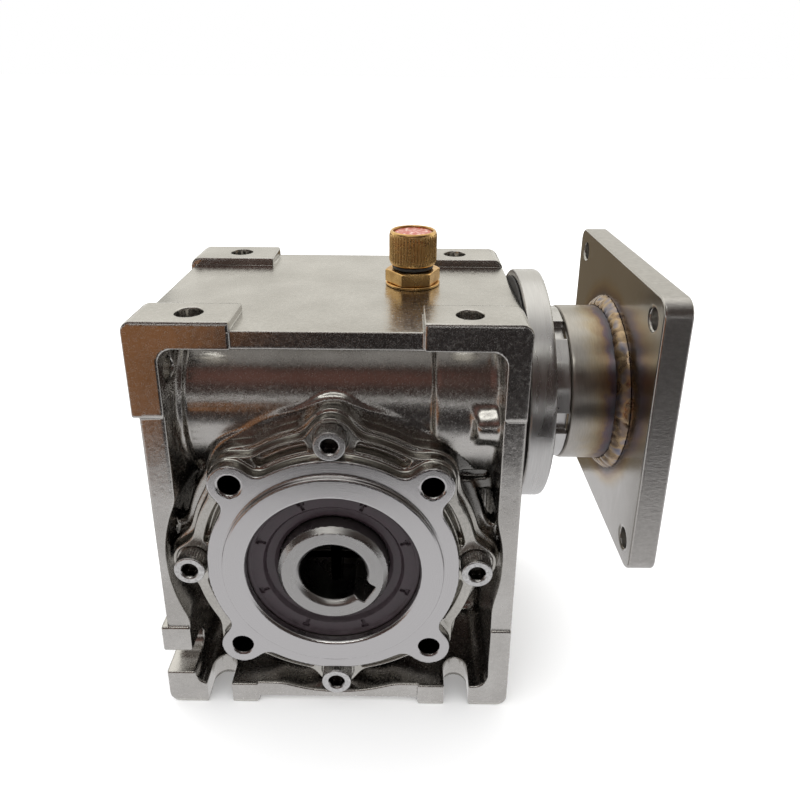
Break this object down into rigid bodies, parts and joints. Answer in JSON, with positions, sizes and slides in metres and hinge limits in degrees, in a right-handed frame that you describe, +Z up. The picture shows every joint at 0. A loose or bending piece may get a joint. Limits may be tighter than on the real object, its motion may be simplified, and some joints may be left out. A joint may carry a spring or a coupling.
{
  "type": "worm gearbox",
  "caption": "Right-angle worm gearbox with a square cast housing, a keyed hollow output shaft and a welded square motor plate.",
  "frame": {"origin": "middle of the box in X and Y, at the bottom of the feet", "axes": "+X along the worm towards the motor plate, +Y along the output shaft away from the cover, +Z up"},
  "size_m": [0.136, 0.078, 0.1352],
  "materials": {
    "cast_steel": "satin, fine blasted grain of a cast stainless steel",
    "machined_steel": "turned stainless steel, fine concentric marks",
    "plate_steel": "milled and brushed stainless plate",
    "screw_steel": "cold-headed stainless steel",
    "weld": "rippled weld with heat tint",
    "worm_steel": "ground hardened steel",
    "bearing_steel": "polished bearing steel",
    "bronze": "cut bronze",
    "brass": "turned and knurled brass, slightly tarnished",
    "vent_mark": "faded red disc",
    "seal_rubber": "dark purple-brown sealing rubber",
    "black_rubber": "matt black rubber",
    "gasket": "dark gasket fibre"
  },
  "bodies": {
    "gearcase": {"housing": "cast_steel", "output_cover": "cast_steel", "input_flange_ring": "machined_steel", "tube_collar": "machined_steel", "motor_tube": "machined_steel", "motor_plate": "plate_steel", "cover_screw_1": "screw_steel", "cover_screw_2": "screw_steel", "cover_screw_3": "screw_steel", "cover_screw_4": "screw_steel", "flange_screw_1": "screw_steel", "flange_screw_2": "screw_steel", "flange_screw_3": "screw_steel", "flange_screw_4": "screw_steel", "weld_bead": "weld", "output_bearing_front_outer": "bearing_steel", "output_bearing_rear_outer": "bearing_steel", "worm_bearing_input_outer": "bearing_steel", "worm_bearing_end_outer": "bearing_steel", "worm_circlip_input": "bearing_steel", "worm_circlip_end": "bearing_steel", "vent_base": "brass", "vent_washer": "brass", "output_seal_front": "seal_rubber", "output_seal_rear": "seal_rubber", "input_seal": "seal_rubber", "cover_o_ring": "black_rubber", "vent_o_ring": "black_rubber", "worm_end_cap": "black_rubber", "flange_gasket": "gasket"},
    "output_rotor": {"output_shaft": "machined_steel", "worm_wheel_rim": "bronze", "output_bearing_front_inner": "bearing_steel", "output_bearing_rear_inner": "bearing_steel"},
    "worm_rotor": {"worm_shaft": "worm_steel", "worm_bearing_input_inner": "bearing_steel", "worm_bearing_end_inner": "bearing_steel"},
    "output_cage_front": {"output_bearing_front_balls": "bearing_steel"},
    "output_cage_rear": {"output_bearing_rear_balls": "bearing_steel"},
    "worm_cage_input": {"worm_bearing_input_balls": "bearing_steel"},
    "worm_cage_end": {"worm_bearing_end_balls": "bearing_steel"},
    "breather_cap": {"vent_cap": "brass", "vent_disc": "vent_mark"}
  },
  "joints": [
    {"name": "output_spin", "type": "hinge", "parent": "gearcase", "child": "output_rotor", "pos_m": [-0.018, 0, 0.05], "axis": [0, 1, 0], "continuous": true},
    {"name": "worm_spin", "type": "hinge", "parent": "gearcase", "child": "worm_rotor", "pos_m": [-0.018, 0, 0.09], "axis": [1, 0, 0], "continuous": true},
    {"name": "output_cage_front_spin", "type": "hinge", "parent": "gearcase", "child": "output_cage_front", "pos_m": [-0.018, 0, 0.05], "axis": [0, 1, 0], "continuous": true},
    {"name": "output_cage_rear_spin", "type": "hinge", "parent": "gearcase", "child": "output_cage_rear", "pos_m": [-0.018, 0, 0.05], "axis": [0, 1, 0], "continuous": true},
    {"name": "worm_cage_input_spin", "type": "hinge", "parent": "gearcase", "child": "worm_cage_input", "pos_m": [-0.018, 0, 0.09], "axis": [1, 0, 0], "continuous": true},
    {"name": "worm_cage_end_spin", "type": "hinge", "parent": "gearcase", "child": "worm_cage_end", "pos_m": [-0.018, 0, 0.09], "axis": [1, 0, 0], "continuous": true},
    {"name": "breather_cap_turn", "type": "hinge", "parent": "gearcase", "child": "breather_cap", "pos_m": [0.003, 0.0045, 0.125], "axis": [0, 0, 1], "range_deg": [0, 180]}
  ],
  "couplings": [
    {"joint": "worm_spin", "follows": "output_spin", "ratio": -30},
    {"joint": "output_cage_front_spin", "follows": "output_spin", "ratio": 0.42},
    {"joint": "output_cage_rear_spin", "follows": "output_spin", "ratio": 0.42},
    {"joint": "worm_cage_input_spin", "follows": "output_spin", "ratio": -12.5},
    {"joint": "worm_cage_end_spin", "follows": "output_spin", "ratio": -12.5}
  ]
}
